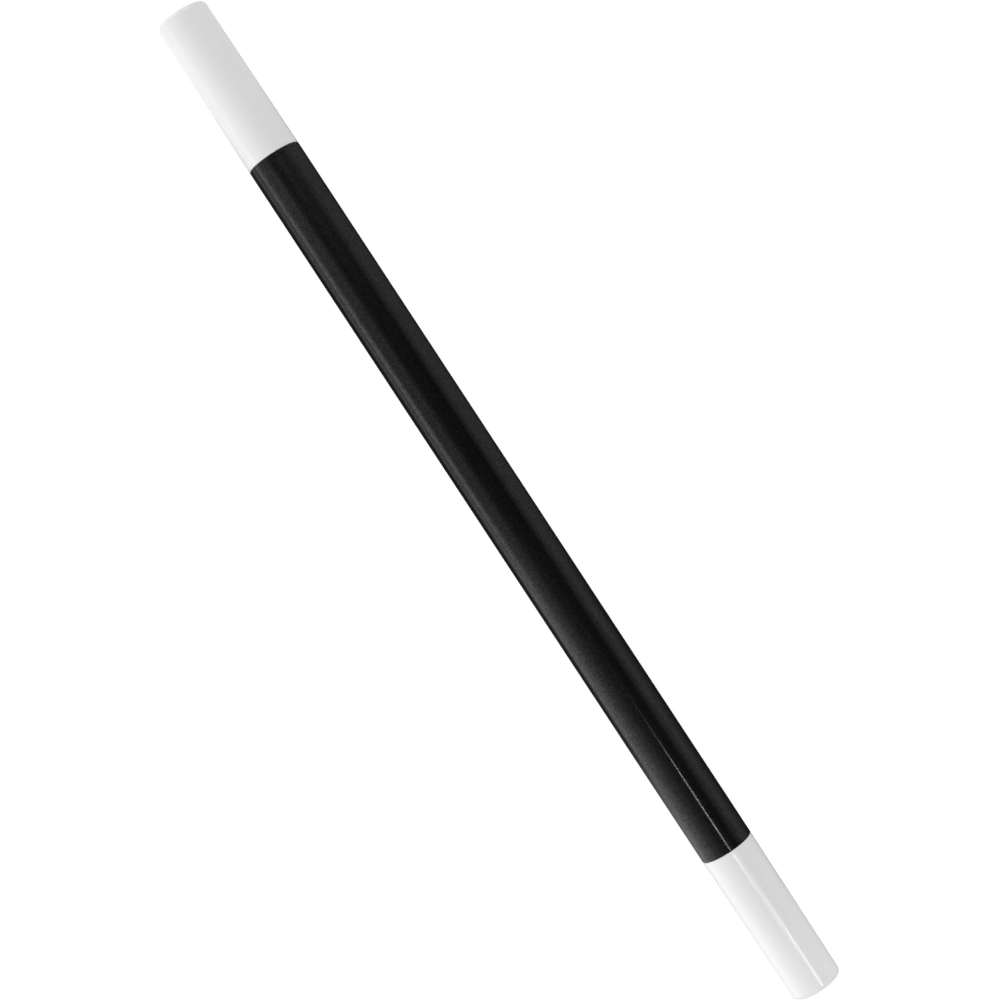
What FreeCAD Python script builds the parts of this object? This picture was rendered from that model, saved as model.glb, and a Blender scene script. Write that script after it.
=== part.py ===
"""Stage wand: a black extruded tube with a white moulded tip plugged into each end.

Row frame, in millimetres: the wand lies along X on the ground plane Z = 0, with its
centre over the origin and +Z up.  Every length is driven by the sheet "sizes".
"""
import FreeCAD, Part
import Sketcher
import os

# Driving dimensions: alias, value in millimetres (counts are plain numbers), meaning.
DIMENSIONS = [
    ("tube_length", 215.0, "length of the black tube"),
    ("tube_diameter", 15.0, "outside of the tube"),
    ("tube_wall", 1.2, "wall of the tube"),
    ("tube_edge_radius", 0.2, "rounding of the cut ends, outside"),
    ("bore_edge_chamfer", 0.3, "deburring of the cut ends, inside"),
    ("tip_length", 43.7, "length of a tip that shows"),
    ("tip_end_diameter", 14.5, "far end of a tip, narrower by the mould's draft"),
    ("tip_end_radius", 1.2, "rounding of the far end"),
    ("tip_shoulder_radius", 0.2, "rounding of the shoulder that meets the tube"),
    ("tip_end_wall", 2.5, "thickness of the closed end"),
    ("gate_diameter", 2.4, "recess around the moulding gate"),
    ("gate_depth", 0.2, "depth of that recess"),
    ("core_mouth_diameter", 9.7, "hollow of the tip at its mouth"),
    ("core_end_diameter", 9.1, "hollow of the tip at its closed end"),
    ("core_end_radius", 0.8, "rounding of the hollow's closed end"),
    ("spigot_length", 14.0, "plug that goes into the tube"),
    ("spigot_diameter", 12.1, "plug between its ribs"),
    ("spigot_lead", 0.8, "lead-in chamfer at the plug's nose"),
    ("rib_count", 6.0, "grip ribs around the plug"),
    ("rib_width", 0.8, "width of a rib"),
    ("rib_clearance", 0.05, "gap between a rib's crest and the bore"),
    ("rib_inset", 1.5, "plain length of plug at each end of a rib"),
    ("rib_ramp", 1.6, "length of a rib's sloped front"),
    ("rib_root", 0.3, "depth to which a rib runs into the plug"),
]

# Tips: node name, end of the tube (-1 or +1 along X), turn about Z in degrees.
TIPS = [
    ("left_tip_cap", -1, 180),
    ("right_tip_cap", 1, 0),
]


def make_sheet(doc):
    """Write the driving dimensions into the spreadsheet, one row each."""
    sheet = doc.addObject("Spreadsheet::Sheet", "sizes")
    for row, (alias, value, meaning) in enumerate(DIMENSIONS, start=1):
        sheet.set(f"A{row}", alias)
        sheet.set(f"B{row}", str(value))
        sheet.set(f"C{row}", meaning)
        sheet.setAlias(f"B{row}", alias)
    doc.recompute()
    return sheet


def origin_plane(body, role):
    """Return the origin plane of a body by its role, such as XZ_Plane."""
    return next(plane for plane in body.Origin.OriginFeatures if plane.Role == role)


def new_sketch(body, name, role):
    """Attach an empty sketch to one of the body's own origin planes."""
    sketch = body.newObject("Sketcher::SketchObject", name)
    sketch.AttachmentSupport = (origin_plane(body, role), [""])
    sketch.MapMode = "FlatFace"
    return sketch


def add_circle(sketch, name, diameter):
    """Draw a circle on the sketch's origin whose diameter follows an expression."""
    circle = sketch.addGeometry(Part.Circle(), False)
    sketch.addConstraint(Sketcher.Constraint("Coincident", circle, 3, -1, 1))
    size = sketch.addConstraint(Sketcher.Constraint("Diameter", circle, 1.0))
    sketch.renameConstraint(size, name)
    sketch.setExpression(f"Constraints.{name}", diameter)


def add_outline(sketch, corners):
    """Draw a closed outline; each corner is (name, along, across) as expressions."""
    count = len(corners)
    points = []
    for _, along, across in corners:
        u = sketch.evalExpression(along)
        v = sketch.evalExpression(across)
        points.append(FreeCAD.Vector(float(u), float(v), 0))
    for index in range(count):
        sketch.addGeometry(Part.LineSegment(points[index], points[(index + 1) % count]), False)
    for index in range(count):
        sketch.addConstraint(
            Sketcher.Constraint("Coincident", index, 2, (index + 1) % count, 1))
    for index, (name, along, across) in enumerate(corners):
        u = sketch.addConstraint(
            Sketcher.Constraint("DistanceX", -1, 1, index, 1, points[index].x))
        sketch.renameConstraint(u, f"{name}_along")
        sketch.setExpression(f"Constraints.{name}_along", along)
        v = sketch.addConstraint(
            Sketcher.Constraint("DistanceY", -1, 1, index, 1, points[index].y))
        sketch.renameConstraint(v, f"{name}_across")
        sketch.setExpression(f"Constraints.{name}_across", across)


def both_ends(x):
    """Accept an edge wherever its centre lies along X."""
    return True


def at_shoulder(x):
    """Accept an edge that lies in the shoulder plane X = 0 of a tip."""
    return abs(x) < 1e-6


def beyond_shoulder(x):
    """Accept an edge in the part of a tip that shows."""
    return x > 1e-6


def round_edges(shape, radius, place):
    """Name the full-circle edges of a given radius whose centre passes a test."""
    names = []
    for number, edge in enumerate(shape.Edges, start=1):
        circle = edge.Curve
        if not isinstance(circle, Part.Circle) or len(edge.Vertexes) != 1:
            continue
        if abs(circle.Radius - radius) < 1e-6 and place(circle.Center.x):
            names.append(f"Edge{number}")
    return names


def dress_edges(body, kind, name, base, edges, prop, expression):
    """Add a Fillet or Chamfer whose size follows an expression."""
    if not edges:
        raise RuntimeError(f"{name} found no edges on {base.Label}")
    feature = body.newObject(f"PartDesign::{kind}", name)
    feature.Base = (base, edges)
    feature.setExpression(prop, expression)
    body.Document.recompute()
    return feature


def make_tube(doc, sheet):
    """Extruded tube: a ring section, cut square, with its ends deburred."""
    body = doc.addObject("PartDesign::Body", "shaft_tube")
    section = new_sketch(body, "tube_section", "YZ_Plane")
    add_circle(section, "outside", "sizes.tube_diameter")
    add_circle(section, "bore", "sizes.tube_diameter - 2 * sizes.tube_wall")

    extrusion = body.newObject("PartDesign::Pad", "extrusion")
    extrusion.Profile = section
    extrusion.Midplane = True
    extrusion.setExpression("Length", "sizes.tube_length")
    doc.recompute()

    outer = sheet.tube_diameter / 2
    rounded = dress_edges(
        body, "Fillet", "cut_ends_outside", extrusion,
        round_edges(extrusion.Shape, outer, both_ends),
        "Radius", "sizes.tube_edge_radius")
    dress_edges(
        body, "Chamfer", "cut_ends_inside", rounded,
        round_edges(rounded.Shape, outer - sheet.tube_wall, both_ends),
        "Size", "sizes.bore_edge_chamfer")

    body.setExpression("Placement.Base.z", "sizes.tube_diameter / 2")
    return body


def make_tip(doc, sheet, node, end, turn):
    """Moulded tip, modelled with its shoulder at X = 0 and its plug towards -X."""
    body = doc.addObject("PartDesign::Body", node)
    tube_radius = "sizes.tube_diameter / 2"
    plug_radius = "sizes.spigot_diameter / 2"
    bore_radius = "sizes.tube_diameter / 2 - sizes.tube_wall"

    profile = new_sketch(body, f"{node}_profile", "XZ_Plane")
    add_outline(profile, [
        ("core_mouth", "-sizes.spigot_length", "sizes.core_mouth_diameter / 2"),
        ("plug_nose", "-sizes.spigot_length", f"{plug_radius} - sizes.spigot_lead / 2"),
        ("plug_lead", "-sizes.spigot_length + sizes.spigot_lead", plug_radius),
        ("plug_root", "0", plug_radius),
        ("shoulder", "0", tube_radius),
        ("end_edge", "sizes.tip_length", "sizes.tip_end_diameter / 2"),
        ("gate_edge", "sizes.tip_length", "sizes.gate_diameter / 2"),
        ("gate_floor", "sizes.tip_length - sizes.gate_depth", "sizes.gate_diameter / 2"),
        ("gate_centre", "sizes.tip_length - sizes.gate_depth", "0"),
        ("core_centre", "sizes.tip_length - sizes.tip_end_wall", "0"),
        ("core_end", "sizes.tip_length - sizes.tip_end_wall", "sizes.core_end_diameter / 2"),
    ])
    shell = body.newObject("PartDesign::Revolution", f"{node}_shell")
    shell.Profile = profile
    shell.ReferenceAxis = (profile, ["H_Axis"])
    shell.Angle = 360
    doc.recompute()

    end_rounded = dress_edges(
        body, "Fillet", f"{node}_end", shell,
        round_edges(shell.Shape, sheet.tip_end_diameter / 2, beyond_shoulder),
        "Radius", "sizes.tip_end_radius")
    shoulder_rounded = dress_edges(
        body, "Fillet", f"{node}_shoulder", end_rounded,
        round_edges(end_rounded.Shape, sheet.tube_diameter / 2, at_shoulder),
        "Radius", "sizes.tip_shoulder_radius")
    dress_edges(
        body, "Fillet", f"{node}_core_end", shoulder_rounded,
        round_edges(shoulder_rounded.Shape, sheet.core_end_diameter / 2, beyond_shoulder),
        "Radius", "sizes.core_end_radius")

    # Grip ribs: one rib seen from the side, given its width, then repeated around X.
    rib_front = "-sizes.spigot_length + sizes.rib_inset"
    rib_crest = f"{bore_radius} - sizes.rib_clearance"
    rib_side = new_sketch(body, f"{node}_rib_side", "XZ_Plane")
    add_outline(rib_side, [
        ("root_front", rib_front, f"{plug_radius} - sizes.rib_root"),
        ("toe_front", rib_front, plug_radius),
        ("crest_front", f"{rib_front} + sizes.rib_ramp", rib_crest),
        ("crest_back", "-sizes.rib_inset", rib_crest),
        ("root_back", "-sizes.rib_inset", f"{plug_radius} - sizes.rib_root"),
    ])
    rib = body.newObject("PartDesign::Pad", f"{node}_rib")
    rib.Profile = rib_side
    rib.Midplane = True
    rib.setExpression("Length", "sizes.rib_width")
    ribs = body.newObject("PartDesign::PolarPattern", f"{node}_ribs")
    ribs.Originals = [rib]
    ribs.Axis = (rib_side, ["H_Axis"])
    ribs.Angle = 360
    ribs.setExpression("Occurrences", "sizes.rib_count")
    body.Tip = ribs
    doc.recompute()

    body.Placement.Rotation = FreeCAD.Rotation(FreeCAD.Vector(0, 0, 1), turn)
    body.setExpression("Placement.Base.x", f"{end} * sizes.tube_length / 2")
    body.setExpression("Placement.Base.z", "sizes.tube_diameter / 2")
    return body


def check(doc, bodies):
    """Stop unless every object was computed and every piece is one valid solid."""
    for item in doc.Objects:
        if "Invalid" in item.State or "Error" in item.State:
            raise RuntimeError(f"{item.Label} failed: {item.State}")
    for body in bodies:
        shape = body.Shape
        if shape.isNull() or not shape.isValid() or len(shape.Solids) != 1:
            raise RuntimeError(f"{body.Label} is not one valid solid")


doc = FreeCAD.newDocument("stage_wand")
sheet = make_sheet(doc)
bodies = [make_tube(doc, sheet)]
bodies += [make_tip(doc, sheet, node, end, turn) for node, end, turn in TIPS]
doc.recompute()
check(doc, bodies)

os.makedirs("parts", exist_ok=True)
for body in bodies:
    body.Shape.exportStep(f"parts/{body.Label}.step")
    box = body.Shape.optimalBoundingBox(True, False)
    print(f"{body.Label}: {body.Shape.Volume:.1f} mm3, X {box.XMin:.2f} to {box.XMax:.2f}, "
          f"Y {box.YMin:.2f} to {box.YMax:.2f}, Z {box.ZMin:.2f} to {box.ZMax:.2f}")
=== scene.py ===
"""Looks of the stage wand: a black extruded tube with a white moulded tip in each end.

Everything is in metres in the row frame: the wand lies along X on the ground, +Z up.
"""

import logging
import math
from dataclasses import dataclass, field
from enum import Enum
from typing import Any, Iterable, Sequence

import bmesh
import bpy
from mathutils import Matrix, Vector


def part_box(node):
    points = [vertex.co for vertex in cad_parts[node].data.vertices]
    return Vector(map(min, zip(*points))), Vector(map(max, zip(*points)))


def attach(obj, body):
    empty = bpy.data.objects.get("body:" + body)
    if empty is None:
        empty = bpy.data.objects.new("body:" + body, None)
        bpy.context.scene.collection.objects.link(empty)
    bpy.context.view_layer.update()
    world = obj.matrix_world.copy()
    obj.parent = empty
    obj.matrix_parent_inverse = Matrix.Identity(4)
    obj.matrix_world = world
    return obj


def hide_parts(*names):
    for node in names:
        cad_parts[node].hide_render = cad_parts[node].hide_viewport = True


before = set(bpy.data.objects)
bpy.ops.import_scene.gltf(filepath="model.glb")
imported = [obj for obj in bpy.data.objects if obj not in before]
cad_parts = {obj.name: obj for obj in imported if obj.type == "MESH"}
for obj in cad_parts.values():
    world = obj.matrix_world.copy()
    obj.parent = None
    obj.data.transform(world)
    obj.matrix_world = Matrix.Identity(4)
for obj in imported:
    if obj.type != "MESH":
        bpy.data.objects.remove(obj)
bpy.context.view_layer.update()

log = logging.getLogger("stage_wand")

MM = 0.001
# Pairs of place and value along a ramp.
Stops = tuple[tuple[float, float], ...]
# Faces round the wand. The profiles start half a face off the top, so that a face's
# middle, and with it the middle of a rib, lies straight up.
AROUND = 144
# Points closer than this are the same point.
SAME_PLACE = 1e-6
# Edges sharper than this stay sharp in the smooth shading.
CREASE = math.radians(40.0)


class End(Enum):
    """The two ends of the wand, by the side of the tube they plug into."""

    LEFT = -1
    RIGHT = 1


# --------------------------------------------------------------------------------------
# Shader arithmetic
# --------------------------------------------------------------------------------------


class Wire:
    """An output socket that takes part in arithmetic; each step adds one Math node."""

    def __init__(self, board: "Board", socket: bpy.types.NodeSocket) -> None:
        """Keep the socket and the board whose node tree it belongs to."""
        self.board = board
        self.socket = socket

    def _math(self, operation: str, first: Any, second: Any) -> "Wire":
        """Add one Math node and return its result."""
        return self.board.add("ShaderNodeMath", {"operation": operation}, {0: first, 1: second})

    def beside(self, output: str) -> "Wire":
        """Another output of the same node."""
        return Wire(self.board, self.socket.node.outputs[output])

    def __add__(self, other: Any) -> "Wire":
        """Sum."""
        return self._math("ADD", self, other)

    __radd__ = __add__

    def __mul__(self, other: Any) -> "Wire":
        """Product."""
        return self._math("MULTIPLY", self, other)

    __rmul__ = __mul__

    def __sub__(self, other: Any) -> "Wire":
        """Difference."""
        return self._math("SUBTRACT", self, other)

    def __rsub__(self, other: Any) -> "Wire":
        """Difference with the number first, as in 1 - mask."""
        return self._math("SUBTRACT", other, self)


class Board:
    """The node tree of a material or of the room, built around a single shader."""

    def __init__(self, owner: bpy.types.Material | bpy.types.World) -> None:
        """Clear the owner's tree and put its one shader in.

        Args:
            owner: A material, which gets a Principled shader, or a world, which gets a
                Background shader.
        """
        owner.use_nodes = True
        self.owner = owner
        self.tree = owner.node_tree
        self.tree.nodes.clear()
        kind, end = ("Background", "World") if isinstance(owner, bpy.types.World) else (
            "BsdfPrincipled", "Material")
        self.shader = self.tree.nodes.new(f"ShaderNode{kind}")
        output = self.tree.nodes.new(f"ShaderNodeOutput{end}")
        self.tree.links.new(self.shader.outputs[0], output.inputs["Surface"])

    def _feed(self, socket: bpy.types.NodeSocket, value: Any) -> None:
        """Link a wire to a socket, or set a plain value on it.

        Args:
            socket: The socket.
            value: A wire, or what the socket is set to.
        """
        if isinstance(value, Wire):
            self.tree.links.new(value.socket, socket)
        else:
            socket.default_value = value

    def add(
        self,
        kind: str,
        settings: dict[str, Any] | None = None,
        inputs: dict[Any, Any] | None = None,
        output: str | int = 0,
    ) -> Wire:
        """Add any node.

        Args:
            kind: Blender's type name of the node.
            settings: Properties to set first; "stops" holds a ramp's (place, value) pairs.
            inputs: Values or wires for its sockets, by name or number.
            output: Name or number of the output to return.

        Returns:
            The chosen output.
        """
        node = self.tree.nodes.new(kind)
        for key, value in (settings or {}).items():
            if key == "stops":
                self._set_stops(node.color_ramp, value)
            else:
                setattr(node, key, value)
        for key, value in (inputs or {}).items():
            self._feed(node.inputs[key], value)
        return Wire(self, node.outputs[output])

    @staticmethod
    def _set_stops(ramp: bpy.types.ColorRamp, stops: Sequence[tuple[float, float]]) -> None:
        """Give a ramp its grey stops.

        Args:
            ramp: The ramp of a Color Ramp node.
            stops: Pairs of place and value, in order.
        """
        while len(ramp.elements) < len(stops):
            ramp.elements.new(1.0)
        for element, (place, value) in zip(ramp.elements, stops):
            element.position = place
            element.color = (value, value, value, 1.0)

    def shade(self, **sockets: Any) -> None:
        """Set sockets of the shader; underscores in their names stand for spaces."""
        for key, value in sockets.items():
            self._feed(self.shader.inputs[key.replace("_", " ")], value)

    def place(self, stretch: tuple[float, float, float]) -> Wire:
        """Object coordinates, stretched for a pattern.

        Args:
            stretch: How many pattern units a metre holds along X, Y and Z.

        Returns:
            The stretched coordinates.
        """
        own = self.add("ShaderNodeTexCoord", output="Object")
        return self.add("ShaderNodeMapping", inputs={"Vector": own, "Scale": stretch},
                        output="Vector")

    def noise(self, stretch: tuple[float, float, float], detail: float = 2.0,
              roughness: float = 0.5) -> Wire:
        """Soft noise between 0 and 1.

        Args:
            stretch: Pattern units in a metre along X, Y and Z.
            detail: Octaves of finer noise.
            roughness: Weight of the finer octaves.

        Returns:
            The noise value.
        """
        return self.add("ShaderNodeTexNoise", inputs={
            "Vector": self.place(stretch), "Scale": 1.0, "Detail": detail,
            "Roughness": roughness})

    def ramp(self, value: Wire, *stops: tuple[float, float]) -> Wire:
        """Read a value through a grey ramp.

        Args:
            value: What is read.
            stops: Pairs of place and value, in order.

        Returns:
            The value read off the ramp.
        """
        return self.add("ShaderNodeValToRGB", {"stops": stops}, {"Fac": value}, "Color")

    def tint(self, share: Wire, low: Wire | Sequence[float], high: Sequence[float]) -> Wire:
        """Mix two colours.

        Args:
            share: 0 gives low, 1 gives high.
            low: A mixed colour, or linear red, green and blue.
            high: Linear red, green and blue.

        Returns:
            The mixed colour.
        """
        start = low if isinstance(low, Wire) else (*low, 1.0)
        return self.add("ShaderNodeMix", {"data_type": "RGBA"},
                        {"Factor": share, "A": start, "B": (*high, 1.0)}, "Result")

    def bump(self, height: Wire, depth: float, under: Wire | None = None) -> Wire:
        """Turn a height pattern into a normal.

        Args:
            height: The pattern, between 0 and 1.
            depth: Height of the pattern in metres.
            under: A coarser normal that this one lies on.

        Returns:
            The normal.
        """
        inputs = {"Height": height, "Distance": depth, "Strength": 1.0}
        if under is not None:
            inputs["Normal"] = under
        return self.add("ShaderNodeBump", inputs=inputs)


# --------------------------------------------------------------------------------------
# Finishes
# --------------------------------------------------------------------------------------


@dataclass(frozen=True)
class BlackExtrusion:
    """Satin black plastic, drawn through a die, so its fine lines run lengthwise."""

    name: str = "satin_black_extrusion"
    slot: str = "black_tube"
    deep: tuple[float, float, float] = (0.0014, 0.0014, 0.0014)
    faded: tuple[float, float, float] = (0.0080, 0.0080, 0.0080)
    dust: tuple[float, float, float] = (0.16, 0.16, 0.16)
    roughness: float = 0.12
    shine: float = 0.175
    # How much the shinier spots of the grain are lacquered, and how satin that lacquer is.
    grain: float = 0.35
    grain_roughness: float = 0.12
    speck_strength: float = 0.15
    broad_line_depth: float = 0.015 * MM
    fine_line_depth: float = 0.0018 * MM

    def make(self) -> bpy.types.Material:
        """Build the material.

        Returns:
            The material.
        """
        board = Board(bpy.data.materials.new(self.name))
        # Die lines: broad ones about 1.5 mm apart, fine ones about 0.3 mm.
        broad = board.noise((6.0, 650.0, 650.0), detail=1.0)
        fine = board.noise((5.0, 3400.0, 3400.0), detail=2.0, roughness=0.6)
        lines = broad * 0.45 + fine * 0.55
        # Handling: patches where the satin is a little duller, and short faint rubs.
        patches = board.noise((60.0, 160.0, 160.0), detail=3.0)
        rubs = board.ramp(board.noise((160.0, 2600.0, 2600.0), detail=1.0),
                          (0.66, 0.0), (0.74, 1.0))
        # The satin itself is a fine grain of shinier and duller spots.
        grain = board.ramp(board.noise((2100.0, 2700.0, 2700.0), detail=1.0),
                           (0.36, 0.0), (0.64, 1.0))
        specks = board.ramp(board.noise((2300.0, 2300.0, 2300.0), detail=0.0),
                            (0.865, 0.0), (0.895, 1.0))

        shade = board.tint(lines * 0.3 + patches * 0.2 + grain * 0.5, self.deep, self.faded)
        colour = board.tint(specks * self.speck_strength, shade, self.dust)
        # The patterns lie about a middle of 0.5, which is taken off again.
        rough = lines * 0.06 + patches * 0.04 + rubs * 0.015 + (self.roughness - 0.05)
        normal = board.bump(broad, self.broad_line_depth)
        normal = board.bump(fine, self.fine_line_depth, normal)
        board.shade(Base_Color=colour, Roughness=rough, Normal=normal,
                    Specular_IOR_Level=self.shine, Coat_Weight=grain * self.grain,
                    Coat_Roughness=self.grain_roughness)
        return board.owner


@dataclass(frozen=True)
class WhiteMoulding:
    """Smooth semi-gloss white plastic from a polished mould."""

    name: str = "semi_gloss_white_moulding"
    slot: str = "white_tip"
    clean: tuple[float, float, float] = (0.83, 0.83, 0.83)
    dull: tuple[float, float, float] = (0.80, 0.80, 0.80)
    rub: tuple[float, float, float] = (0.55, 0.55, 0.55)
    roughness: float = 0.19
    shine: float = 0.45
    peel_depth: float = 0.0022 * MM
    flow_depth: float = 0.004 * MM

    def make(self) -> bpy.types.Material:
        """Build the material.

        Returns:
            The material.
        """
        board = Board(bpy.data.materials.new(self.name))
        # Faint clouds, flow along the mould and the fine orange peel of a moulded skin.
        cloud = board.noise((45.0, 70.0, 70.0), detail=3.0)
        flow = board.noise((40.0, 420.0, 420.0), detail=2.0)
        peel = board.noise((1100.0, 1100.0, 1100.0), detail=1.0)
        # Handling: hair scratches along the wand, and specks of dirt.
        hair = board.ramp(board.noise((420.0, 5200.0, 5200.0), detail=1.0),
                          (0.70, 0.0), (0.78, 1.0))
        specks = board.ramp(board.noise((2000.0, 2000.0, 2000.0), detail=0.0),
                            (0.86, 0.0), (0.885, 1.0))

        shade = board.tint(cloud, self.dull, self.clean)
        colour = board.tint(specks * 0.5 + hair * 0.06, shade, self.rub)
        rough = cloud * 0.06 + flow * 0.05 + hair * 0.14 + (self.roughness - 0.055)
        normal = board.bump(peel, self.peel_depth)
        normal = board.bump(flow, self.flow_depth, normal)
        board.shade(Base_Color=colour, Roughness=rough, Normal=normal,
                    Specular_IOR_Level=self.shine)
        return board.owner


# --------------------------------------------------------------------------------------
# Round shapes
# --------------------------------------------------------------------------------------


@dataclass
class Turning:
    """A shape turned about the wand's axis from an outline of (along, radius) corners."""

    axis_height: float
    mesh: bmesh.types.BMesh = field(default_factory=bmesh.new)

    def turn(self, outline: Sequence[tuple[float, float]]) -> None:
        """Spin a closed outline once round the axis and close its seam and poles.

        Args:
            outline: Corners as (place along X, distance from the axis), in metres.
        """
        corners = [self.mesh.verts.new((along, 0.0, self.axis_height + radius))
                   for along, radius in outline]
        for first, second in zip(corners, corners[1:] + corners[:1]):
            self.mesh.edges.new((first, second))
        step = math.tau / AROUND
        centre = Vector((0.0, 0.0, self.axis_height))
        bmesh.ops.rotate(self.mesh, verts=self.mesh.verts, cent=centre,
                         matrix=Matrix.Rotation(step / 2, 3, "X"))
        bmesh.ops.spin(self.mesh, geom=self.mesh.verts[:] + self.mesh.edges[:], cent=centre,
                       axis=(1.0, 0.0, 0.0), angle=math.tau, steps=AROUND, use_merge=True)
        bmesh.ops.remove_doubles(self.mesh, verts=self.mesh.verts, dist=SAME_PLACE)
        bmesh.ops.recalc_face_normals(self.mesh, faces=self.mesh.faces)

    def radius(self, point: Vector) -> float:
        """Distance of a point from the wand's axis."""
        return math.hypot(point.y, point.z - self.axis_height)

    def rings(self, along: float, radius: float) -> list[bmesh.types.BMEdge]:
        """Edges of one ring.

        Args:
            along: Place of the ring along X.
            radius: Radius of the ring.

        Returns:
            The ring's edges.
        """

        def on_ring(vert: bmesh.types.BMVert) -> bool:
            """Tell whether a corner lies on the ring."""
            return (abs(vert.co.x - along) < SAME_PLACE
                    and abs(self.radius(vert.co) - radius) < SAME_PLACE)

        return [edge for edge in self.mesh.edges if all(on_ring(v) for v in edge.verts)]

    def round_ring(self, along: float, radius: float, size: float, segments: int) -> None:
        """Round or chamfer one ring.

        Args:
            along: Place of the ring along X.
            radius: Radius of the ring.
            size: Radius of the rounding, or leg of the chamfer.
            segments: Faces across the rounding; 1 makes a chamfer.
        """
        bmesh.ops.bevel(self.mesh, geom=self.rings(along, radius), offset=size,
                        segments=segments, affect="EDGES", profile=0.5, material=-1)

    def cut_across(self, places: Iterable[float]) -> None:
        """Divide the faces by planes across the axis.

        Args:
            places: Where the planes cross X.
        """
        for along in places:
            everything = self.mesh.verts[:] + self.mesh.edges[:] + self.mesh.faces[:]
            bmesh.ops.bisect_plane(self.mesh, geom=everything, dist=SAME_PLACE / 10,
                                   plane_co=(along, 0.0, 0.0), plane_no=(1.0, 0.0, 0.0))

    def finish(self, name: str) -> bpy.types.Object:
        """Turn the bmesh into a smooth-shaded object with even normals.

        Args:
            name: Name of the object and its mesh.

        Returns:
            The object, at the origin of the row frame.
        """
        bmesh.ops.recalc_face_normals(self.mesh, faces=self.mesh.faces)
        data = bpy.data.meshes.new(name)
        self.mesh.to_mesh(data)
        self.mesh.free()
        data.shade_smooth()
        data.set_sharp_from_angle(angle=CREASE)
        thing = bpy.data.objects.new(name, data)
        bpy.context.scene.collection.objects.link(thing)
        even = thing.modifiers.new("even_normals", "WEIGHTED_NORMAL")
        even.keep_sharp = True
        return thing


# --------------------------------------------------------------------------------------
# Pieces
# --------------------------------------------------------------------------------------


@dataclass
class Tube:
    """The black tube, with the sizes that its outside box doesn't give."""

    wall: float = 1.2 * MM
    cut_edge_radius: float = 0.2 * MM
    bore_chamfer: float = 0.3 * MM
    ring_spacing: float = 5.0 * MM
    node: str = "shaft_tube"
    body: str = "shaft"

    def __post_init__(self) -> None:
        """Read the outside sizes off the frame."""
        low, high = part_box(self.node)
        self.ends = (low.x, high.x)
        self.radius = (high.z - low.z) / 2
        self.axis_height = (high.z + low.z) / 2

    def build(self, finish: bpy.types.Material, slot: str) -> bpy.types.Object:
        """Make the tube and put it in the frame.

        Args:
            finish: Material of the tube.
            slot: The record's material slot; not used.

        Returns:
            The tube.
        """
        left, right = self.ends
        bore = self.radius - self.wall
        shape = Turning(self.axis_height)
        shape.turn([(left, bore), (left, self.radius), (right, self.radius), (right, bore)])
        for end in self.ends:
            shape.round_ring(end, self.radius, self.cut_edge_radius, segments=4)
            shape.round_ring(end, bore, self.bore_chamfer, segments=1)
        spans = round((right - left) / self.ring_spacing)
        shape.cut_across(left + (right - left) * i / spans for i in range(1, spans))
        tube = shape.finish("black_tube")
        dress(tube, finish)
        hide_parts(self.node)
        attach(tube, self.body)
        return tube


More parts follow.
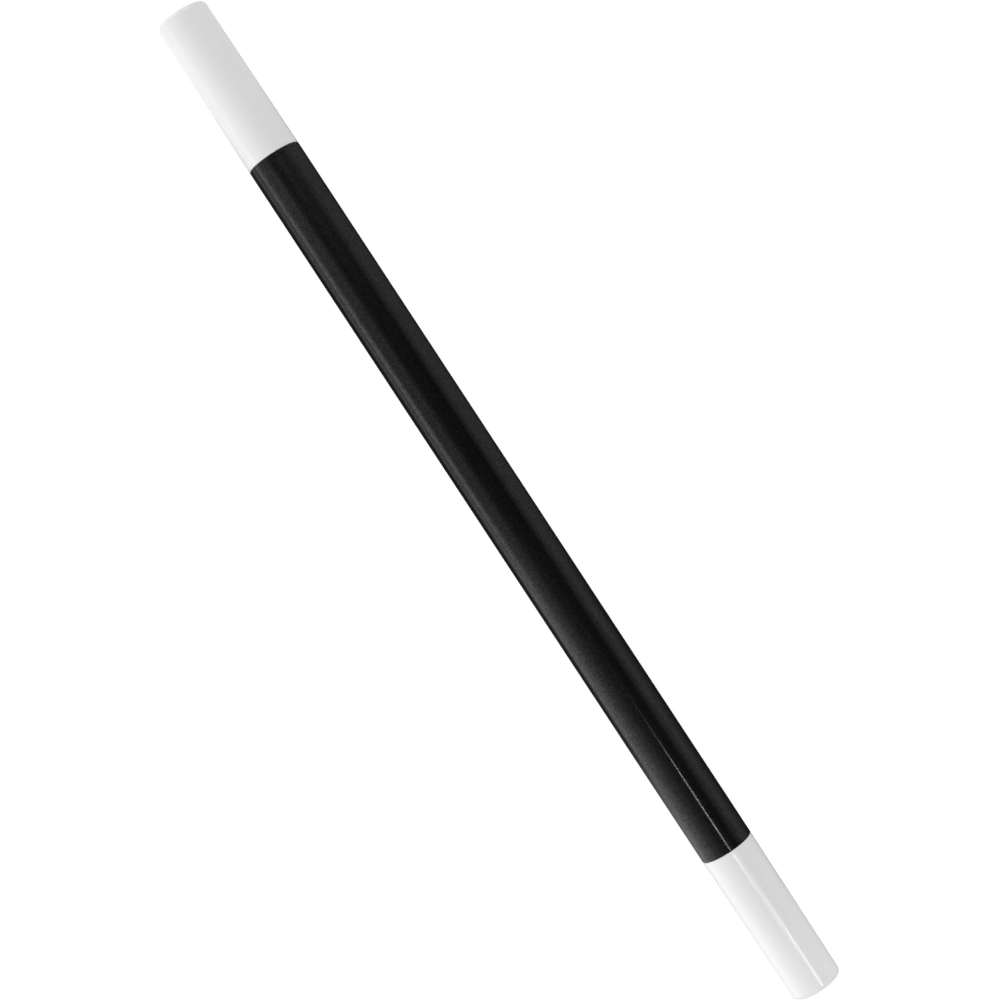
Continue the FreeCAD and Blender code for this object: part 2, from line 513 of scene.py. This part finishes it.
@dataclass
class Tip:
    """One white tip: the barrel that shows, and the ribbed plug that holds it in the tube."""

    end: End
    barrel_length: float = 43.7 * MM
    end_radius: float = 7.25 * MM
    end_rounding: float = 1.2 * MM
    shoulder_rounding: float = 0.2 * MM
    end_wall: float = 2.5 * MM
    gate_radius: float = 1.2 * MM
    gate_depth: float = 0.2 * MM
    core_mouth: float = 4.85 * MM
    core_end: float = 4.55 * MM
    core_rounding: float = 0.8 * MM
    plug_length: float = 14.0 * MM
    plug_radius: float = 6.05 * MM
    plug_lead: float = 0.8 * MM
    rib_count: int = 6
    rib_faces: int = 3
    rib_height: float = 0.2 * MM
    rib_inset: float = 1.5 * MM
    rib_ramp: float = 1.6 * MM

    def __post_init__(self) -> None:
        """Name the tip and read its place off the frame."""
        side = self.end.name.lower()
        self.node = f"{side}_tip_cap"
        self.body = f"{side}_tip"
        low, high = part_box("shaft_tube")
        self.shoulder_radius = (high.z - low.z) / 2
        self.axis_height = (high.z + low.z) / 2
        self.shoulder = high.x if self.end is End.RIGHT else low.x

    def along(self, out: float) -> float:
        """Place along X of a point that lies this far out from the shoulder."""
        return self.shoulder + self.end.value * out

    def outline(self) -> list[tuple[float, float]]:
        """Lay out the section, from the plug's mouth over the outside to the core.

        Returns:
            Corners as (place along X, distance from the axis).
        """
        rib_front = -self.plug_length + self.rib_inset
        corners = [
            (-self.plug_length, self.core_mouth),
            (-self.plug_length, self.plug_radius - self.plug_lead / 2),
            (-self.plug_length + self.plug_lead, self.plug_radius),
            (rib_front, self.plug_radius),
            (rib_front + self.rib_ramp, self.plug_radius),
            (-self.rib_inset, self.plug_radius),
            (0.0, self.plug_radius),
            (0.0, self.shoulder_radius),
            (self.barrel_length, self.end_radius),
            (self.barrel_length, self.gate_radius),
            (self.barrel_length - self.gate_depth, self.gate_radius),
            (self.barrel_length - self.gate_depth, 0.0),
            (self.barrel_length - self.end_wall, 0.0),
            (self.barrel_length - self.end_wall, self.core_end),
        ]
        return [(self.along(out), radius) for out, radius in corners]

    def raise_ribs(self, shape: Turning) -> None:
        """Lift the grip ribs out of the plug, each with a sloped front.

        Args:
            shape: The turned tip.
        """
        front = -self.plug_length + self.rib_inset
        span = sorted((self.along(front), self.along(-self.rib_inset)))
        half_width = math.tau / AROUND * self.rib_faces / 2

        for number in range(self.rib_count):
            turn = math.tau * number / self.rib_count
            outward = Vector((0.0, math.sin(turn), math.cos(turn)))

            def on_rib(face: bmesh.types.BMFace) -> bool:
                """Tell whether a face of the plug lies under this rib.

                Args:
                    face: Any face of the tip.

                Returns:
                    Whether the rib rises from it.
                """
                middle = face.calc_center_median()
                spoke = Vector((0.0, middle.y, middle.z - self.axis_height))
                return (span[0] < middle.x < span[1]
                        and abs(spoke.length - self.plug_radius) < self.rib_height / 4
                        and spoke.angle(outward) < half_width)

            faces = [face for face in shape.mesh.faces if on_rib(face)]
            lifted = bmesh.ops.extrude_face_region(shape.mesh, geom=faces)["geom"]
            crest = [v for v in lifted if isinstance(v, bmesh.types.BMVert)
                     and abs(v.co.x - self.along(front)) > SAME_PLACE]
            bmesh.ops.translate(shape.mesh, verts=crest, vec=outward * self.rib_height)
        bmesh.ops.remove_doubles(shape.mesh, verts=shape.mesh.verts, dist=SAME_PLACE)

    def build(self, finish: bpy.types.Material, slot: str) -> bpy.types.Object:
        """Make the tip and put it in the frame.

        Args:
            finish: Material of the tip.
            slot: The record's material slot; not used.

        Returns:
            The tip.
        """
        far = self.along(self.barrel_length)
        core = self.along(self.barrel_length - self.end_wall)
        shape = Turning(self.axis_height)
        shape.turn(self.outline())
        self.raise_ribs(shape)
        shape.round_ring(far, self.end_radius, self.end_rounding, segments=10)
        shape.round_ring(self.along(0.0), self.shoulder_radius, self.shoulder_rounding,
                         segments=4)
        shape.round_ring(core, self.core_end, self.core_rounding, segments=5)
        shape.round_ring(far, self.gate_radius, self.gate_depth / 4, segments=2)
        tip = shape.finish(f"{self.end.name.lower()}_white_tip")
        dress(tip, finish)
        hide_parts(self.node)
        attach(tip, self.body)
        return tip


def dress(piece: bpy.types.Object, finish: bpy.types.Material) -> None:
    """Give a piece its material.

    Args:
        piece: The piece.
        finish: Its material.
    """
    piece.data.materials.append(finish)


# --------------------------------------------------------------------------------------
# Studio
# --------------------------------------------------------------------------------------


@dataclass(frozen=True)
class Softbox:
    """A rectangular lamp aimed at a point, given by how bright its face looks."""

    name: str
    place: tuple[float, float, float]
    aim: tuple[float, float, float]
    width: float
    length: float
    brightness: float
    skew: float = 0.0

    def hang(self) -> None:
        """Put the lamp in the scene.

        Its length runs as near along X as its aim allows, then turns by the skew, in
        degrees. The camera doesn't see it, only its reflection.
        """
        data = bpy.data.lights.new(self.name, "AREA")
        data.shape = "RECTANGLE"
        data.size = self.length
        data.size_y = self.width
        data.energy = math.pi * self.width * self.length * self.brightness
        lamp = bpy.data.objects.new(self.name, data)
        bpy.context.scene.collection.objects.link(lamp)
        lamp.visible_camera = False
        back = (Vector(self.place) - Vector(self.aim)).normalized()
        along = (Vector((1.0, 0.0, 0.0)) - back * back.x).normalized()
        along = Matrix.Rotation(math.radians(self.skew), 3, back) @ along
        lamp.matrix_world = (Matrix.Translation(self.place)
                             @ Matrix((along, back.cross(along), back)).transposed().to_4x4())


@dataclass
class Studio:
    """Pale floor, soft lamps and the camera straight above the wand."""

    axis_height: float
    lens: float = 74.1
    sensor: float = 36.0
    distance: float = 536.7 * MM
    # Turn of the wand from the picture's upright, and how far its right end dips away.
    heading: float = math.radians(33.29)
    dip: float = math.radians(1.65)
    off_centre: tuple[float, float] = (0.39 * MM, -1.09 * MM)
    floor_size: float = 30.0
    floor_grey: tuple[float, float, float, float] = (0.3, 0.3, 0.3, 1.0)
    floor_glow: float = 0.88
    backdrop: float = 0.6
    lamps: tuple[Softbox, ...] = (
        # Boxes beyond the wand's ends light it without showing in its sides.
        Softbox("far_left_box", (-1.1, -0.5, 1.0), (0, 0, 0), 0.9, 0.9, 2.4),
        Softbox("far_right_box", (1.1, -0.5, 1.0), (0, 0, 0), 0.9, 0.9, 1.75),
        Softbox("near_left_box", (-0.40, 0.22, 0.30), (-0.13, 0, 0), 0.2, 0.2, 4.75),
        Softbox("near_right_box", (0.40, 0.22, 0.30), (0.13, 0, 0), 0.2, 0.2, 1.05),
        # A small one low beside the right tip evens out the two tips.
        Softbox("tip_box", (0.22, 0.08, 0.08), (0.14, 0, 0), 0.05, 0.05, 3.6),
        # Narrow strips above the right half give the fine line along the top.
        Softbox("fine_strip_start", (0.152, 0.060, 0.54), (0.07, 0, 0), 0.018, 0.022, 0.5),
        Softbox("fine_strip_rise", (0.171, 0.060, 0.54), (0.08, 0, 0), 0.018, 0.012, 2.4),
        Softbox("fine_strip", (0.206, 0.0518, 0.54), (0.10, 0, 0), 0.018, 0.060, 29.0, -15.0),
        Softbox("fine_strip_tip", (0.257, 0.062, 0.54), (0.12, 0, 0), 0.019, 0.054, 17.0, 12.0),
        Softbox("fine_strip_end", (0.309, 0.168, 0.54), (0.14, 0, 0), 0.08, 0.036, 22.0, 15.0),
    )
    # Brightness of the room by the angle round the wand's axis, in degrees: 0 is straight
    # up, -90 the horizon on the left (-Y), 90 the horizon on the right.
    room_middle: Stops = (
        (-160, 0.03), (-127, 0.04), (-116, 0.82), (-106, 0.98), (-98, 0.85), (-91, 2.5),
        (-80, 2.15), (-69, 0.62), (-34, 0.66), (-24, 0.26), (-10, 0.06), (42, 0.03), (61, 0.58),
        (78, 0.78), (100, 0.52), (130, 0.17), (148, 0.02))
    room_left_end: Stops = (
        (-160, 0.03), (-127, 0.04), (-116, 0.74), (-106, 0.84), (-98, 0.80), (-91, 2.6),
        (-80, 2.1), (-69, 1.15), (-34, 0.95), (-24, 0.40), (-10, 0.17), (14, 0.55), (34, 0.36),
        (58, 0.58), (78, 0.80), (100, 0.52), (130, 0.17), (148, 0.02))
    room_right_end: Stops = (
        (-160, 0.04), (-127, 0.08), (-112, 1.75), (-98, 2.15), (-78, 2.0), (-50, 0.95),
        (-30, 0.48), (-16, 0.28), (6, 0.14), (22, 0.05), (42, 0.06), (56, 0.48),
        (78, 0.82), (90, 0.75), (102, 0.42), (128, 0.06), (148, 0.02))
    # More light from low on the left, which the wand mirrors near its right joint.
    room_corner: Stops = (
        (-176, 2.5), (-165, 0.3), (-150, 0.4), (-125, 1.5), (-110, 0.3), (-100, 0))
    # White surroundings, low down, that only the tips mirror.
    room_tips: Stops = (
        (-175, 1.3), (-112, 0.9), (-95, 0), (95, 0), (112, 0.45), (175, 0.6))
    # How much of each shows by direction along the wand: 0 is back along -X, 1 ahead.
    show_left_end: Stops = ((0.415, 1.0), (0.441, 0.35), (0.47, 0.0))
    show_right_end: Stops = ((0.512, 0.0), (0.545, 1.0))
    show_corner: Stops = ((0.582, 0.0), (0.606, 1.0), (0.615, 1.0), (0.63, 0.25))
    show_tips: Stops = ((0.395, 1.0), (0.412, 0.0), (0.616, 0.0), (0.635, 0.6))
    # The whole room fades towards its two ends.
    fade: Stops = ((0.15, 0.35), (0.34, 1.0), (0.66, 1.0), (0.85, 0.35))
    # The brightest that a row of stops can hold; ramps keep values as shares of it.
    room_peak: float = 3.0

    def lay_floor(self) -> None:
        """Lay the floor under the wand."""
        shape = bmesh.new()
        bmesh.ops.create_grid(shape, x_segments=1, y_segments=1, size=self.floor_size / 2)
        data = bpy.data.meshes.new("floor")
        shape.to_mesh(data)
        shape.free()
        floor = bpy.data.objects.new("floor", data)
        bpy.context.scene.collection.objects.link(floor)
        board = Board(bpy.data.materials.new("pale_floor"))
        board.shade(Base_Color=self.floor_grey, Roughness=0.9, Specular_IOR_Level=0.0,
                    Emission_Color=(1.0, 1.0, 1.0, 1.0), Emission_Strength=self.floor_glow)
        data.materials.append(board.owner)
        # A light table: it has no shadow, and it lights the wand without mirroring in it.
        floor.visible_glossy = False

    def light_room(self) -> None:
        """Make the room: soft bands of light that run along the wand on either side."""
        board = Board(bpy.data.worlds.new("room"))
        way = board.add("ShaderNodeTexCoord", output="Generated")
        up = board.add("ShaderNodeSeparateXYZ", inputs={"Vector": way}, output="Z")
        angle = board.add("ShaderNodeMath", {"operation": "ARCTAN2"},
                          {0: up.beside("Y"), 1: up})
        turn = angle * (1 / math.tau) + 0.5
        ahead = up.beside("X") * 0.5 + 0.5

        def band(stops: Stops) -> Wire:
            """Read the brightness for this angle off a row of stops."""
            return board.ramp(turn, *((degrees / 360 + 0.5, light / self.room_peak)
                                      for degrees, light in stops))

        middle = band(self.room_middle)
        glow = middle
        for share, stops in ((self.show_left_end, self.room_left_end),
                             (self.show_right_end, self.room_right_end)):
            glow = glow + board.ramp(ahead, *share) * (band(stops) - middle)
        for share, stops in ((self.show_corner, self.room_corner),
                             (self.show_tips, self.room_tips)):
            glow = glow + board.ramp(ahead, *share) * band(stops)
        glow = glow * board.ramp(ahead, *self.fade)
        # Seen past the floor, the room is a plain pale backdrop.
        seen = board.add("ShaderNodeLightPath", output="Is Camera Ray")
        strength = glow * self.room_peak * (1.0 - seen) + seen * self.backdrop
        board.shade(Color=(1.0, 1.0, 1.0, 1.0), Strength=strength)
        bpy.context.scene.world = board.owner

    def light(self) -> None:
        """Hang the lamps and light the room."""
        for lamp in self.lamps:
            lamp.hang()
        self.light_room()
        bpy.context.scene.view_settings.view_transform = "Standard"

    def set_camera(self) -> None:
        """Put the camera above the wand, turned so that the wand lies aslant."""
        data = bpy.data.cameras.new("camera")
        data.lens = self.lens
        data.sensor_width = self.sensor
        camera = bpy.data.objects.new("camera", data)
        bpy.context.scene.collection.objects.link(camera)
        # The row's axes as the camera sees them: right, up and towards the camera.
        wand = Vector((math.sin(self.heading) * math.cos(self.dip),
                       -math.cos(self.heading) * math.cos(self.dip),
                       -math.sin(self.dip)))
        up = (Vector((0.0, 0.0, 1.0)) - wand * wand.z).normalized()
        turn = Matrix((wand, up.cross(wand), up))
        middle = Vector((*self.off_centre, -self.distance))
        place = Vector((0.0, 0.0, self.axis_height)) - turn @ middle
        camera.matrix_world = Matrix.Translation(place) @ turn.to_4x4()
        bpy.context.scene.camera = camera


def report(piece: bpy.types.Object) -> None:
    """Log a finished piece."""
    log.info("%s: %d faces", piece.name, len(piece.data.polygons))


def main() -> None:
    """Build the wand and the studio round it."""
    logging.basicConfig(level=logging.INFO, format="%(name)s: %(message)s")
    black, white = BlackExtrusion(), WhiteMoulding()
    black_finish, white_finish = black.make(), white.make()
    tube = Tube()
    report(tube.build(black_finish, black.slot))
    for end in End:
        report(Tip(end).build(white_finish, white.slot))
    studio = Studio(tube.axis_height)
    studio.set_camera()
    studio.lay_floor()
    studio.light()


if __name__ == "__main__":
    main()
